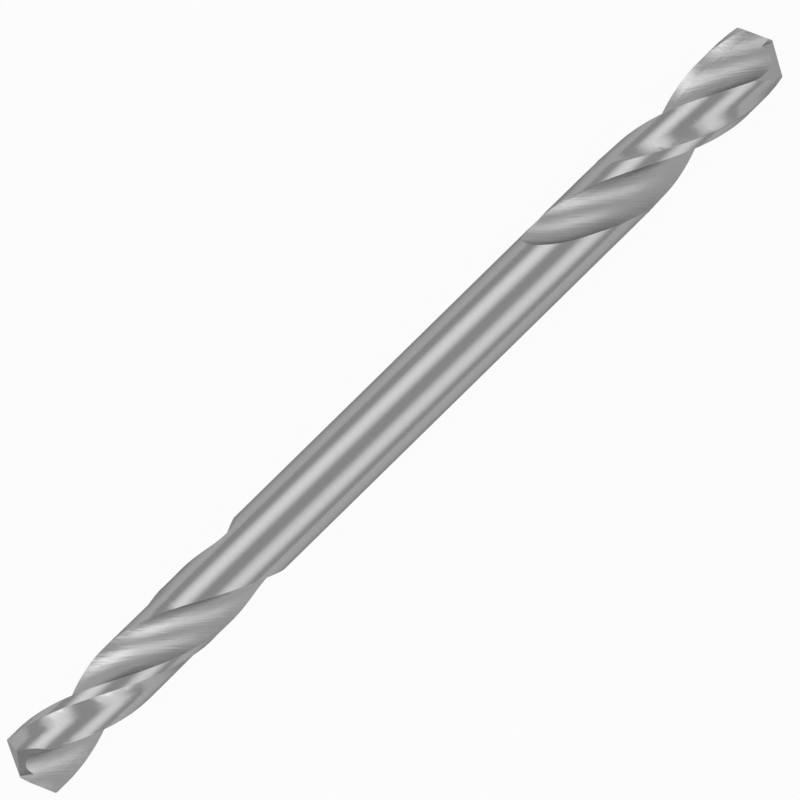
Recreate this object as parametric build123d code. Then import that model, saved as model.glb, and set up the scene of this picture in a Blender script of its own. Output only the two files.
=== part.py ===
from build123d import *
import os
from math import acos, atan2, cos, degrees, radians, sin, sqrt, tan

# Double-ended twist drill bit, ground from one bar of high speed steel.
# A plain round shank sits in the middle, and each end has two right-hand helical flutes,
# body clearance behind a narrow margin, and a split point.
# The axis is X with its origin at mid-length, lengths are millimetres and angles degrees.

# Overall
drill_diameter = 3.3         # across the outer corners of each point
shank_diameter = 3.28        # the margins taper back to the shank, so the bit doesn't bind in its hole
overall_length = 47.75
helix_lead = 20.9            # axial travel of a flute in one full turn

# Ends: how far the flutes and the clearance run at full depth, and each end's turn about the axis
left_full_flute = 13.0
right_full_flute = 12.2
left_full_clearance = 7.8
right_full_clearance = 6.0
left_end_turn = -24.0
right_end_turn = -53.6

# Flute section, square to the axis
flute_angle = 101.5          # arc taken out of the outside by one flute, at the point
core_radius = 0.36           # half the web's thickness at the point
core_growth = 0.04           # rise of the leading side per millimetre towards the shank
runout_radius = 3.2          # arc on which the grinding wheel leaves the bar
runout_direction = -60.0     # way that the wheel leaves, from the cutting edge

# Body clearance behind the margin: a flat, then an arc that rises to the heel
margin_width = 0.49
clearance_depth = 0.14       # of the flat, where it faces away from the axis
clearance_facing = 39.0      # direction that the flat faces, from the cutting corner
flat_end = 43.0              # the flat blends into the arc here, from the cutting corner
heel_depth = 0.10
clearance_angle = 86.0       # from the cutting corner to where the arc ends at the heel
clearance_runout_radius = 60.0

# Split point
point_angle = 134.0
flank_tilt = 11.5            # tips each flank's cone, for relief behind the cutting edge
notch_turn = 20.0            # the thinned inner edge runs this far ahead of the outer corner
notch_slope = 35.0           # between the notch floor and the drill's axis
notch_facing = 141.8         # direction that the notch floor faces
notch_floor_depth = 0.03     # where the notch floor crosses the axis, back from the tip
split_web = 0.14             # web left between the two notches

bar_radius = drill_diameter / 2
turn_rate = 360 / helix_lead
margin_angle = degrees(margin_width / bar_radius)
clearance_middle = (margin_angle + clearance_angle) / 2
clear_of_bar = 2 * bar_radius
stations_along = 14
stations_on_exit = 5


def polar(radius, angle):
    """Point in the section plane, at an angle from the cutting corner about the axis."""
    return Vector(0, radius * cos(radians(angle)), radius * sin(radians(angle)))


def flute_profile():
    """Section of one flute: a straight cutting face, then an arc that touches the core and ends at the heel."""
    heel = polar(bar_radius, -flute_angle)
    slope = -heel.Z / core_radius - 1
    reach = sqrt(heel.Y**2 + slope * (bar_radius**2 - heel.Z * core_radius))
    start = (reach - heel.Y) / slope
    radius = (start**2 - core_radius**2) / (2 * core_radius)
    centre = Vector(0, start, -radius)
    heel_turn = degrees(atan2(heel.Z - centre.Z, heel.Y - centre.Y)) % 360
    middle = centre + polar(radius, (90 + heel_turn) / 2)
    corner = Vector(0, start, 0)
    outer_corner = Vector(0, clear_of_bar, 0)
    outer_heel = heel + polar(clear_of_bar, heel_turn + 90)
    outer_middle = polar(2 * clear_of_bar, -flute_angle / 2)
    return Wire([
        Edge.make_line(outer_corner, corner),
        Edge.make_three_point_arc(corner, middle, heel),
        Edge.make_line(heel, outer_heel),
        Edge.make_three_point_arc(outer_heel, outer_middle, outer_corner),
    ])


def clearance_profile():
    """Section ground off the land: a flat behind the margin, then a tangent arc to the heel."""
    flat_distance = bar_radius - clearance_depth
    foot = polar(flat_distance / cos(radians(margin_angle - clearance_facing)), margin_angle)
    valley = polar(flat_distance / cos(radians(flat_end - clearance_facing)), flat_end)
    heel = polar(bar_radius - heel_depth, clearance_angle)
    arc = Edge.make_tangent_arc(valley, polar(1, clearance_facing + 90), heel)
    beyond = heel + (arc % 1) * bar_radius
    outer_foot = polar(clear_of_bar, margin_angle)
    outer_middle = polar(2 * clear_of_bar, clearance_angle)
    return Wire([
        Edge.make_line(foot, valley),
        arc,
        Edge.make_line(heel, beyond),
        Edge.make_three_point_arc(beyond, outer_middle, outer_foot),
        Edge.make_line(outer_foot, foot),
    ])


def wheel_path(full_length, exit_radius, rise, growth=0.0):
    """Stations along the end: axial position, lift with the web's growth, and lift on the exit arc."""
    lead_in = -bar_radius
    stations = []
    for i in range(stations_along + 1):
        x = lead_in + (full_length - lead_in) * i / stations_along
        stations.append((x, growth * x, 0.0))
    exit_angle = acos(1 - rise / exit_radius)
    for i in range(1, stations_on_exit + 1):
        turn = exit_angle * i / stations_on_exit
        x = full_length + exit_radius * sin(turn)
        stations.append((x, growth * full_length, exit_radius * (1 - cos(turn))))
    return stations


def helical_cutter(profile, path, exit_direction):
    """Solid swept by a profile that turns with the helix and lifts away along its path."""
    wires = []
    for x, growth_lift, exit_lift in path:
        lift = polar(growth_lift, 0) + polar(exit_lift, exit_direction)
        wires.append(Pos(x, 0, 0) * Rot(turn_rate * x, 0, 0) * Pos(*lift) * profile)
    return Solid.make_loft(wires)


def corner_angle():
    """Direction of the outer corner of the cutting edge, which lies back from the tip."""
    return turn_rate * bar_radius / tan(radians(point_angle / 2))


def flank_cone():
    """Solid inside the cone that one flank lies on, tipped about the thinned inner edge."""
    half_point = radians(point_angle / 2)
    tilt = radians(flank_tilt)
    along = cos(half_point) * cos(tilt) - sin(half_point) * sin(radians(notch_turn)) * sin(tilt)
    spread = overall_length * tan(acos(along))
    cone = Cone(0, spread, overall_length, align=(Align.CENTER, Align.CENTER, Align.MIN))
    edge_direction = corner_angle() - notch_turn
    return Rot(edge_direction, 0, 0) * Rot(0, flank_tilt, 0) * Rot(0, 90, 0) * cone


def notch_cutter():
    """Wedge that thins the web: one wall along the inner cutting edge, and a sloping floor."""
    size = 4 * bar_radius
    edge_direction = corner_angle() - notch_turn + 180
    block = Box(size, size, size, align=(Align.CENTER, Align.CENTER, Align.MAX))
    wall = Rot(edge_direction, 0, 0) * Pos(0, 0, -split_web / 2) * block
    floor_block = Box(size, size, size, align=(Align.CENTER, Align.MIN, Align.CENTER))
    floor = Rot(notch_facing, 0, 0) * Pos(notch_floor_depth, 0, 0) * Rot(0, 0, notch_slope) * floor_block
    return wall & floor


def tapered_bar(fluted_length):
    """Round bar for one end: tapered back over the fluted length, then straight to the middle of the shank."""
    from_base = (Align.CENTER, Align.CENTER, Align.MIN)
    shank_length = overall_length / 2 - fluted_length
    fluted = Cone(drill_diameter / 2, shank_diameter / 2, fluted_length, align=from_base)
    shank = Pos(0, 0, fluted_length) * Cylinder(shank_diameter / 2, shank_length, align=from_base)
    return Rot(0, 90, 0) * (fluted + shank)


def drill_end(full_flute, full_clearance):
    """Half of the bit, from the tip at the origin along +X to the middle of the shank."""
    exit_length = sqrt(runout_radius**2 - (runout_radius - bar_radius)**2)
    bar = tapered_bar(full_flute + exit_length)
    flute_path = wheel_path(full_flute, runout_radius, bar_radius, core_growth)
    flute = helical_cutter(flute_profile(), flute_path, runout_direction)
    clearance_path = wheel_path(full_clearance, clearance_runout_radius, 2 * clearance_depth)
    clearance = helical_cutter(clearance_profile(), clearance_path, clearance_middle)
    cone = flank_cone()
    notch = notch_cutter()
    for half_turn in (0, 180):
        opposite = Rot(half_turn, 0, 0)
        bar = bar - opposite * clearance - opposite * flute
        bar = bar & opposite * cone
        bar = bar - opposite * notch
    return bar


to_left_tip = Pos(-overall_length / 2, 0, 0)
left_end = to_left_tip * Rot(left_end_turn, 0, 0) * drill_end(left_full_flute, left_full_clearance)
right_end = to_left_tip * Rot(right_end_turn, 0, 0) * drill_end(right_full_flute, right_full_clearance)
right_end = Rot(0, 0, 180) * right_end
drill_bit = (left_end + right_end).clean()

os.makedirs("parts", exist_ok=True)
export_step(drill_bit, "parts/drill_bit.step")
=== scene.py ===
"""Double-ended twist drill bit: the finish of its ground steel, and the studio it is shown in."""

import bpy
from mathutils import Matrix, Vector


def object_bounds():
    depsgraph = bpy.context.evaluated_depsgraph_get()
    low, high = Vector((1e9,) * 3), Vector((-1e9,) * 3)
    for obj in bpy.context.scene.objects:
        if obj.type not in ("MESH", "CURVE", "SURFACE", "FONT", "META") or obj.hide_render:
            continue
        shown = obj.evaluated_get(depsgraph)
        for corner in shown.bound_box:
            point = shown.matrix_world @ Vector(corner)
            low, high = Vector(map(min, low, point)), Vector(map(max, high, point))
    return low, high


bl_info = {
    "name": "Double-ended drill bit",
    "version": (1, 0, 0),
    "blender": (4, 5, 0),
    "location": "3D View > Sidebar > Drill bit",
    "description": "Gives the packed drill bit its ground steel finish and sets up a plain studio",
    "category": "Object",
}

import math
from collections import namedtuple

import bpy
import numpy as np
from bpy.props import FloatProperty, FloatVectorProperty, PointerProperty
from mathutils import Matrix, Vector

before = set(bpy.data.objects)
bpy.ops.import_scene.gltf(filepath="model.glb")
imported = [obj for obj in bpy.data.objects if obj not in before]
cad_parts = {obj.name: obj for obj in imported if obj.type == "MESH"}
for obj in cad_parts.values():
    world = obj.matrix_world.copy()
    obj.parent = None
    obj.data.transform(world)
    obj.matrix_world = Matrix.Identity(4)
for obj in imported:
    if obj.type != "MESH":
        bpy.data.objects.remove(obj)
cad_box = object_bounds()

BIT = "drill_bit"
MM = 0.001
HALF_LENGTH = cad_box[1].x
FLOOR_HEIGHT = cad_box[0].z

# The helix, as the bit's source has it. Each end's flutes are untwisted about the axis by its own turn.
HELIX_LEAD = 20.9 * MM
TURN_TO_TIP = 2 * math.pi * HALF_LENGTH / HELIX_LEAD
HALF_FLUTE_ANGLE = math.radians(101.5 / 2)
LEFT_END_TURN = math.radians(-24.0)
RIGHT_END_TURN = math.radians(-53.6)
LEFT_FLUTE_TURN = TURN_TO_TIP - HALF_FLUTE_ANGLE + LEFT_END_TURN
RIGHT_FLUTE_TURN = math.pi + HALF_FLUTE_ANGLE - RIGHT_END_TURN - TURN_TO_TIP

# What tells the flutes from the lands, margins and shank: the distance from the axis, and how far
# a surface faces along the direction that leads straight out from the axis.
FLUTE_RADII = (1.50 * MM, 1.46 * MM)
FLUTE_FACINGS = (0.90, 0.85)
TURNED_RADII = (1.60 * MM, 1.61 * MM)
TURNED_FACINGS = (0.95, 0.97)

# Both kinds of grinding marks are noise with this many finer layers on the first. The fineness of
# each is the share of its strength that every layer hands on to the next.
NOISE_DETAIL = 3.0

# Marks of the flute wheel: turned this far from the flute's length.
MARK_TURN = math.radians(36)
MARK_SPACING = 0.13 * MM
MARK_LENGTH = 2.5 * MM
MARK_DEPTH = 0.016 * MM
MARK_FINENESS = 0.7

# Rings of the centreless grinding wheel on shank and lands, and how much they lighten and darken the steel.
RING_SPACING = 0.1 * MM
RING_LENGTH = 0.5 * MM
RING_DEPTH = 0.0012 * MM
RING_SHADE = 0.06
RING_FINENESS = 0.6

# Steel stays grey where it is seen edge on.
GRAZING_TINT = "c8c8c8"

# The Mix node's inputs and output by number, because each kind of data has its own under the same names.
VECTOR_A, VECTOR_B, VECTOR_RESULT = 4, 5, 1
COLOUR_A, COLOUR_B, COLOUR_RESULT = 6, 7, 2

# Soft boxes run along the bit, at this distance from its axis. Each is tilted by degrees from straight
# above. Its ends, its width and the places between which its left part grows bright are metres.
BOX_DISTANCE = 0.283
SoftBox = namedtuple("SoftBox", "name tilt left right across radiance left_radiance bright_from bright_to")
SOFT_BOXES = (
    SoftBox("soft box far side", tilt=38, left=-0.40, right=0.125, across=0.30,
            radiance=0.75, left_radiance=2.15, bright_from=-0.10, bright_to=-0.23),
    SoftBox("soft box near side", tilt=-46, left=-0.40, right=0.125, across=0.30,
            radiance=0.66, left_radiance=2.6, bright_from=-0.10, bright_to=-0.23),
    SoftBox("low soft box near side", tilt=-78, left=-0.28, right=-0.10, across=0.14,
            radiance=0.9, left_radiance=0.9, bright_from=-0.10, bright_to=-0.28),
)

# Dark card beside the left tip, which the notch of the split point mirrors.
CARD_FOOT = Vector((-38.8, -9.9)) * MM
CARD_WIDTH = 16 * MM
CARD_HEIGHT = 14 * MM
CARD_COLOUR = "202020"

# The plain room grows lighter by this share towards the right, between two directions given by their X.
ROOM_LIFT = 0.3
ROOM_LIFT_FROM, ROOM_LIFT_TO = 0.15, 0.45

# Camera: the photograph's width in pixels, and where the bit's middle lies in it, right of and above its
# centre. The sensor's width is in millimetres, and the clipping planes lie this many times nearer and
# farther than the bit.
PIXELS_ACROSS = 800
MIDDLE_IN_PICTURE = (-3.72, -8.96)
SENSOR_WIDTH = 36
CLIP_FACTOR = 100

FLOOR_SIDES = 96


def linear(hex_colour):
    """Turns an sRGB hex colour such as "b0b0b0" into linear red, green, blue and alpha."""
    channels = [int(hex_colour[i:i + 2], 16) / 255 for i in (0, 2, 4)]
    curve = [c / 12.92 if c <= 0.04045 else ((c + 0.055) / 1.055) ** 2.4 for c in channels]
    return (*curve, 1.0)


class BitFinish(bpy.types.PropertyGroup):
    """How the steel was ground, and what that gives the eye."""

    steel_colour: FloatVectorProperty(
        name="Steel colour", description="Reflection colour of bright high speed steel",
        subtype="COLOR", size=4, min=0, max=1, default=linear("c4c4c4"))
    ground_roughness: FloatProperty(
        name="Ground roughness", description="Roughness of the ground shank and lands",
        subtype="FACTOR", min=0, max=1, default=0.2)
    flute_roughness: FloatProperty(
        name="Flute roughness", description="Roughness of the ground flutes",
        subtype="FACTOR", min=0, max=1, default=0.37)


class StudioSettings(bpy.types.PropertyGroup):
    """Floor, surroundings and camera."""

    floor_colour: FloatVectorProperty(
        name="Floor colour", description="Colour of the paper floor, where light and shadow fall on it",
        subtype="COLOR", size=4, min=0, max=1, default=linear("cccccc"))
    floor_radius: FloatProperty(
        name="Floor radius", description="From the bit to the floor's edge",
        subtype="DISTANCE", unit="LENGTH", default=3.0)
    floor_whiteness: FloatProperty(
        name="Floor whiteness",
        description="Share of the floor that is plain white to the eye; the rest takes the shadow",
        subtype="FACTOR", min=0, max=1, default=0.95)
    reflected_whiteness: FloatProperty(
        name="Reflected whiteness", description="The same share where the steel mirrors the floor",
        subtype="FACTOR", min=0, max=1, default=0.3)
    surroundings: FloatProperty(
        name="Surroundings", description="Brightness of the plain room round the bit",
        subtype="FACTOR", min=0, max=1, default=0.405)
    lens: FloatProperty(
        name="Lens", description="Focal length of the camera, long so that the bit isn't foreshortened",
        subtype="DISTANCE_CAMERA", default=200.0)
    pixel_size: FloatProperty(
        name="Pixel size", description="Width on the bit that one pixel of the photograph covers",
        subtype="DISTANCE", unit="LENGTH", precision=7, default=0.04533 * MM)
    axis_turn: FloatProperty(
        name="Axis turn", description="Angle at which the bit's axis rises in the picture",
        subtype="ANGLE", default=math.radians(44.43))


def add_node(tree, kind, inputs=None, **settings):
    """Adds a node with its settings, then fills its inputs, each given by name or number.

    A node's output is linked, a node stands for its first output, and anything else is the value."""
    node = tree.nodes.new(kind)
    for key, value in settings.items():
        setattr(node, key, value)
    for key, value in (inputs or {}).items():
        if isinstance(value, bpy.types.Node):
            value = value.outputs[0]
        if isinstance(value, bpy.types.NodeSocket):
            tree.links.new(value, node.inputs[key])
        else:
            node.inputs[key].default_value = value
    return node


def new_material(name):
    """An empty node material and its tree."""
    material = bpy.data.materials.new(name)
    material.use_nodes = True
    material.node_tree.nodes.clear()
    return material, material.node_tree


def untwisted(tree, place, along):
    """The bit's section with its helix untwisted: each end's two flutes run straight, along +Y and -Y.

    A point turns back about the bit's axis by the helix's turn at its place, and by its own end's turn."""
    right_end = add_node(tree, "ShaderNodeMath", {0: along, 1: 0.0}, operation="GREATER_THAN")
    end_turn = add_node(tree, "ShaderNodeMath", {
        0: right_end, 1: RIGHT_FLUTE_TURN - LEFT_FLUTE_TURN, 2: LEFT_FLUTE_TURN}, operation="MULTIPLY_ADD")
    turn = add_node(tree, "ShaderNodeMath", {
        0: along, 1: 2 * math.pi / HELIX_LEAD, 2: end_turn}, operation="MULTIPLY_ADD")
    back = add_node(tree, "ShaderNodeMath", {0: turn, 1: -1.0}, operation="MULTIPLY")
    straight = add_node(tree, "ShaderNodeVectorRotate", {
        "Vector": place, "Angle": back}, rotation_type="X_AXIS")
    section = add_node(tree, "ShaderNodeSeparateXYZ", {"Vector": straight}).outputs
    return section["Y"], section["Z"]


def outward(tree, place):
    """Direction that leads straight out from the bit's axis, and the distance from the axis."""
    across = add_node(tree, "ShaderNodeVectorMath", {0: place, 1: (0, 1, 1)}, operation="MULTIPLY")
    direction = add_node(tree, "ShaderNodeVectorMath", {0: across}, operation="NORMALIZE")
    radius = add_node(tree, "ShaderNodeVectorMath", {0: across}, operation="LENGTH")
    return direction.outputs["Vector"], radius.outputs["Value"]


def flute_share(tree, radius, facing):
    """1 in the flutes and on the point, 0 on shank, margins and lands.

    A point belongs to a flute if it lies nearer to the axis than any land, or if it faces well away
    from the direction that leads straight out from the axis. The larger of the two smooth steps counts."""
    steps = [add_node(tree, "ShaderNodeMapRange", {"Value": value, "From Min": start, "From Max": end},
                      interpolation_type="SMOOTHSTEP")
             for value, (start, end) in ((radius, FLUTE_RADII), (facing, FLUTE_FACINGS))]
    return add_node(tree, "ShaderNodeMath", dict(enumerate(steps)), operation="MAXIMUM").outputs[0]


def turned_normal(tree, direction, radius, facing):
    """Normal of the surfaces that are turned round: it leads straight out on shank and margins, so
    that they mirror as a true cylinder does. Elsewhere it is the surface's own."""
    steps = [add_node(tree, "ShaderNodeMapRange", {"Value": value, "From Min": start, "From Max": end},
                      interpolation_type="SMOOTHSTEP")
             for value, (start, end) in ((radius, TURNED_RADII), (facing, TURNED_FACINGS))]
    turned = add_node(tree, "ShaderNodeMath", dict(enumerate(steps)), operation="MULTIPLY")
    straight_out = add_node(tree, "ShaderNodeVectorTransform", {0: direction}, vector_type="NORMAL",
                            convert_from="OBJECT", convert_to="WORLD")
    own = add_node(tree, "ShaderNodeNewGeometry").outputs["Normal"]
    return add_node(tree, "ShaderNodeMix", {
        0: turned, VECTOR_A: own, VECTOR_B: straight_out}, data_type="VECTOR").outputs[VECTOR_RESULT]


def flute_marks(tree, place, along):
    """Marks of the flute wheel: noise drawn out along them and narrow across them.

    In the untwisted flutes they are straight, and cross the flute's length at one angle. The
    distance across the flute changes its sign on the opposite side, so both flutes match. Real
    marks are some hundredths of a millimetre apart; these are wider, so that they show."""
    depth, side = untwisted(tree, place, along)
    flip = add_node(tree, "ShaderNodeMath", {0: depth}, operation="SIGN")
    side = add_node(tree, "ShaderNodeMath", {0: side, 1: flip}, operation="MULTIPLY")
    flat = add_node(tree, "ShaderNodeCombineXYZ", {"X": along, "Y": side})
    turned = add_node(tree, "ShaderNodeMapping", {
        "Vector": flat, "Rotation": (0, 0, MARK_TURN), "Scale": (MARK_LENGTH, MARK_SPACING, MM)},
        vector_type="TEXTURE")
    return add_node(tree, "ShaderNodeTexNoise", {
        "Vector": turned, "Scale": 1.0, "Detail": NOISE_DETAIL, "Roughness": MARK_FINENESS},
        noise_dimensions="2D").outputs["Fac"]


def wheel_rings(tree, place):
    """Rings of the centreless grinding wheel: noise that is narrow along the bit and longer round it.

    Real rings are some hundredths of a millimetre apart; these are wider, so that they show."""
    rings = add_node(tree, "ShaderNodeMapping", {
        "Vector": place, "Scale": (RING_SPACING, RING_LENGTH, RING_LENGTH)}, vector_type="TEXTURE")
    return add_node(tree, "ShaderNodeTexNoise", {
        "Vector": rings, "Scale": 1.0, "Detail": NOISE_DETAIL, "Roughness": RING_FINENESS}).outputs["Fac"]


def ground_steel(finish):
    """Bright high speed steel, ground on a wheel: evenly grey, with soft-edged bright bands along the
    shank, and streaks across the duller flutes."""
    material, tree = new_material("ground high speed steel")
    coordinates = add_node(tree, "ShaderNodeTexCoord").outputs
    place, normal = coordinates["Object"], coordinates["Normal"]
    along = add_node(tree, "ShaderNodeSeparateXYZ", {"Vector": place}).outputs["X"]
    direction, radius = outward(tree, place)
    facing = add_node(tree, "ShaderNodeVectorMath", {
        0: direction, 1: normal}, operation="DOT_PRODUCT").outputs["Value"]
    fluted = flute_share(tree, radius, facing)
    rings = wheel_rings(tree, place)

    darker, lighter = (tuple(c * (1 + shade) for c in finish.steel_colour[:3]) + (1.0,)
                       for shade in (-RING_SHADE, RING_SHADE))
    colour = add_node(tree, "ShaderNodeMix", {
        0: rings, COLOUR_A: darker, COLOUR_B: lighter}, data_type="RGBA").outputs[COLOUR_RESULT]
    rough = add_node(tree, "ShaderNodeMapRange", {
        "Value": fluted, "To Min": finish.ground_roughness, "To Max": finish.flute_roughness})
    marks = add_node(tree, "ShaderNodeMath", {
        0: flute_marks(tree, place, along), 1: fluted}, operation="MULTIPLY")
    height = add_node(tree, "ShaderNodeMath", {
        0: rings, 1: RING_DEPTH / MARK_DEPTH, 2: marks}, operation="MULTIPLY_ADD")
    bump = add_node(tree, "ShaderNodeBump", {
        "Height": height, "Normal": turned_normal(tree, direction, radius, facing),
        "Strength": 1.0, "Distance": MARK_DEPTH})
    shader = add_node(tree, "ShaderNodeBsdfPrincipled", {
        "Metallic": 1.0, "Specular Tint": linear(GRAZING_TINT), "Base Color": colour,
        "Roughness": rough, "Normal": bump})
    add_node(tree, "ShaderNodeOutputMaterial", {"Surface": shader})
    return material


class BIT_OT_finish(bpy.types.Operator):
    """Gives the bit its ground steel."""

    bl_idname = "bit.finish"
    bl_label = "Finish the bit"

    def execute(self, context):
        steel = ground_steel(context.scene.bit_finish)
        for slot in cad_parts[BIT].material_slots:
            slot.material = steel
        return {"FINISHED"}


def add_mesh(name, points, faces, material):
    """A mesh object of the stage with one material."""
    mesh = bpy.data.meshes.new(name)
    mesh.from_pydata(points, [], faces)
    mesh.materials.append(material)
    ob = bpy.data.objects.new(name, mesh)
    bpy.context.scene.collection.objects.link(ob)
    return ob


def paper_floor(studio):
    """Matt white paper, lit evenly: mostly plain white to the eye, less so where the steel mirrors it,
    and the rest of it takes light and shadow.

    Flat disc: its rim runs at the radius through a full turn, and every rim point joins to the centre."""
    paper, tree = new_material("white paper")
    ray = add_node(tree, "ShaderNodeLightPath").outputs
    seen = add_node(tree, "ShaderNodeMath", {
        0: ray["Is Camera Ray"], 1: ray["Is Transmission Ray"]}, operation="MAXIMUM")
    seen = add_node(tree, "ShaderNodeMath", {0: seen, 1: studio.floor_whiteness}, operation="MULTIPLY")
    mirrored = add_node(tree, "ShaderNodeMath", {
        0: ray["Is Glossy Ray"], 1: studio.reflected_whiteness}, operation="MULTIPLY")
    share = add_node(tree, "ShaderNodeMath", {0: seen, 1: mirrored}, operation="MAXIMUM")
    matt = add_node(tree, "ShaderNodeBsdfDiffuse", {"Color": studio.floor_colour})
    white = add_node(tree, "ShaderNodeEmission", {"Strength": 1.0})
    mixed = add_node(tree, "ShaderNodeMixShader", {0: share, 1: matt, 2: white})
    add_node(tree, "ShaderNodeOutputMaterial", {"Surface": mixed})

    turn = np.linspace(0, 2 * np.pi, FLOOR_SIDES, endpoint=False)
    rim = studio.floor_radius * np.stack([np.cos(turn), np.sin(turn), np.zeros_like(turn)], axis=1)
    points = np.vstack([rim, np.zeros((1, 3))]) + (0, 0, FLOOR_HEIGHT)
    first = np.arange(FLOOR_SIDES)
    faces = np.stack([first, np.roll(first, -1), np.full_like(first, FLOOR_SIDES)], axis=1)
    add_mesh("floor", points.tolist(), faces.tolist(), paper)


def dark_card():
    """Upright card that the split point mirrors, matt and nearly black: a rectangle that stands on the
    floor and faces the bit's left tip. Only the steel shows it."""
    board, tree = new_material("dark matt board")
    matt = add_node(tree, "ShaderNodeBsdfDiffuse", {"Color": linear(CARD_COLOUR)})
    add_node(tree, "ShaderNodeOutputMaterial", {"Surface": matt})

    toward = (Vector((-HALF_LENGTH, 0)) - CARD_FOOT).normalized()
    half = Vector((-toward.y, toward.x)) * CARD_WIDTH / 2
    bottom, top = FLOOR_HEIGHT, FLOOR_HEIGHT + CARD_HEIGHT
    left, right = CARD_FOOT - half, CARD_FOOT + half
    card = add_mesh("dark card", [(*left, bottom), (*right, bottom), (*right, top), (*left, top)],
                    [(0, 1, 2, 3)], board)
    card.visible_camera = card.visible_shadow = card.visible_diffuse = False


def add_soft_box(box):
    """Rectangular lamp along the bit, tilted from straight above about the bit's axis.

    It is brightest along its middle and fades to its long edges as a half sine wave does, and
    towards its left end its radiance rises smoothly. A lamp's radiance is its power over pi and its
    area, so with the power set to those the strength of its emission is the radiance itself."""
    along = box.right - box.left
    lamp = bpy.data.lights.new(box.name, "AREA")
    lamp.shape = "RECTANGLE"
    lamp.size, lamp.size_y = along, box.across
    lamp.energy = math.pi * along * box.across
    lamp.use_nodes = True
    tree = lamp.node_tree
    place = add_node(tree, "ShaderNodeNewGeometry").outputs["Parametric"]
    place = add_node(tree, "ShaderNodeSeparateXYZ", {"Vector": place}).outputs
    radiance = add_node(tree, "ShaderNodeMapRange", {
        "Value": place["X"], "To Min": box.radiance, "To Max": box.left_radiance,
        "From Min": (box.bright_from - box.left) / along, "From Max": (box.bright_to - box.left) / along},
        interpolation_type="SMOOTHSTEP")
    half_wave = add_node(tree, "ShaderNodeMath", {0: place["Y"], 1: math.pi}, operation="MULTIPLY")
    fade = add_node(tree, "ShaderNodeMath", {0: half_wave}, operation="SINE")
    strength = add_node(tree, "ShaderNodeMath", {0: radiance, 1: fade}, operation="MULTIPLY")
    tree.links.new(strength.outputs[0], tree.nodes["Emission"].inputs["Strength"])

    tilt = math.radians(box.tilt)
    side = Vector((1, 0, 0))
    back = Vector((0, math.sin(tilt), math.cos(tilt)))
    centre = back * BOX_DISTANCE + side * (box.left + box.right) / 2
    ob = bpy.data.objects.new(box.name, lamp)
    facing = Matrix((side, back.cross(side), back)).transposed().to_4x4()
    ob.matrix_world = Matrix.Translation(centre) @ facing
    ob.visible_camera = False
    bpy.context.scene.collection.objects.link(ob)


def plain_room(brightness):
    """Plain white room that grows lighter to the right."""
    world = bpy.data.worlds.new("plain room")
    world.use_nodes = True
    tree = world.node_tree
    way = add_node(tree, "ShaderNodeTexCoord").outputs["Generated"]
    way = add_node(tree, "ShaderNodeSeparateXYZ", {"Vector": way}).outputs
    strength = add_node(tree, "ShaderNodeMapRange", {
        "Value": way["X"], "From Min": ROOM_LIFT_FROM, "From Max": ROOM_LIFT_TO,
        "To Min": brightness, "To Max": brightness * (1 + ROOM_LIFT)}, interpolation_type="SMOOTHSTEP")
    background = tree.nodes["Background"]
    background.inputs["Color"].default_value = (1, 1, 1, 1)
    tree.links.new(strength.outputs[0], background.inputs["Strength"])
    return world


def camera_above(studio):
    """Camera straight above the floor, turned so that the bit's axis rises in the picture."""
    camera = bpy.data.cameras.new("camera")
    camera.sensor_width = SENSOR_WIDTH
    camera.lens = studio.lens
    distance = PIXELS_ACROSS * studio.pixel_size * camera.lens / camera.sensor_width
    camera.clip_start, camera.clip_end = distance / CLIP_FACTOR, distance * CLIP_FACTOR
    turn = studio.axis_turn
    right = Vector((math.cos(turn), -math.sin(turn), 0))
    up = Vector((math.sin(turn), math.cos(turn), 0))
    back = right.cross(up)
    look_at = -(MIDDLE_IN_PICTURE[0] * right + MIDDLE_IN_PICTURE[1] * up) * studio.pixel_size
    ob = bpy.data.objects.new("camera", camera)
    facing = Matrix((right, up, back)).transposed().to_4x4()
    ob.matrix_world = Matrix.Translation(look_at + back * distance) @ facing
    bpy.context.scene.collection.objects.link(ob)
    return ob


class BIT_OT_studio(bpy.types.Operator):
    """Lays the bit on a plain floor under soft boxes, with the camera straight above."""

    bl_idname = "bit.studio"
    bl_label = "Set up the studio"

    def execute(self, context):
        studio = context.scene.bit_studio
        paper_floor(studio)
        dark_card()
        for box in SOFT_BOXES:
            add_soft_box(box)
        context.scene.world = plain_room(studio.surroundings)
        context.scene.camera = camera_above(studio)
        context.scene.view_settings.view_transform = "Standard"
        return {"FINISHED"}


class BIT_PT_panel(bpy.types.Panel):
    """Lists the settings and the steps that build the looks."""

    bl_idname = "BIT_PT_panel"
    bl_label = "Drill bit"
    bl_space_type = "VIEW_3D"
    bl_region_type = "UI"
    bl_category = "Drill bit"

    def draw(self, context):
        for settings, operator in ((context.scene.bit_finish, BIT_OT_finish),
                                   (context.scene.bit_studio, BIT_OT_studio)):
            for name in settings.__annotations__:
                self.layout.prop(settings, name)
            self.layout.operator(operator.bl_idname)


CLASSES = (BitFinish, StudioSettings, BIT_OT_finish, BIT_OT_studio, BIT_PT_panel)


def register():
    for cls in CLASSES:
        bpy.utils.register_class(cls)
    bpy.types.Scene.bit_finish = PointerProperty(type=BitFinish)
    bpy.types.Scene.bit_studio = PointerProperty(type=StudioSettings)


def unregister():
    del bpy.types.Scene.bit_studio
    del bpy.types.Scene.bit_finish
    for cls in reversed(CLASSES):
        bpy.utils.unregister_class(cls)


def main():
    register()
    bpy.ops.bit.finish()
    bpy.ops.bit.studio()


if __name__ == "__main__":
    main()
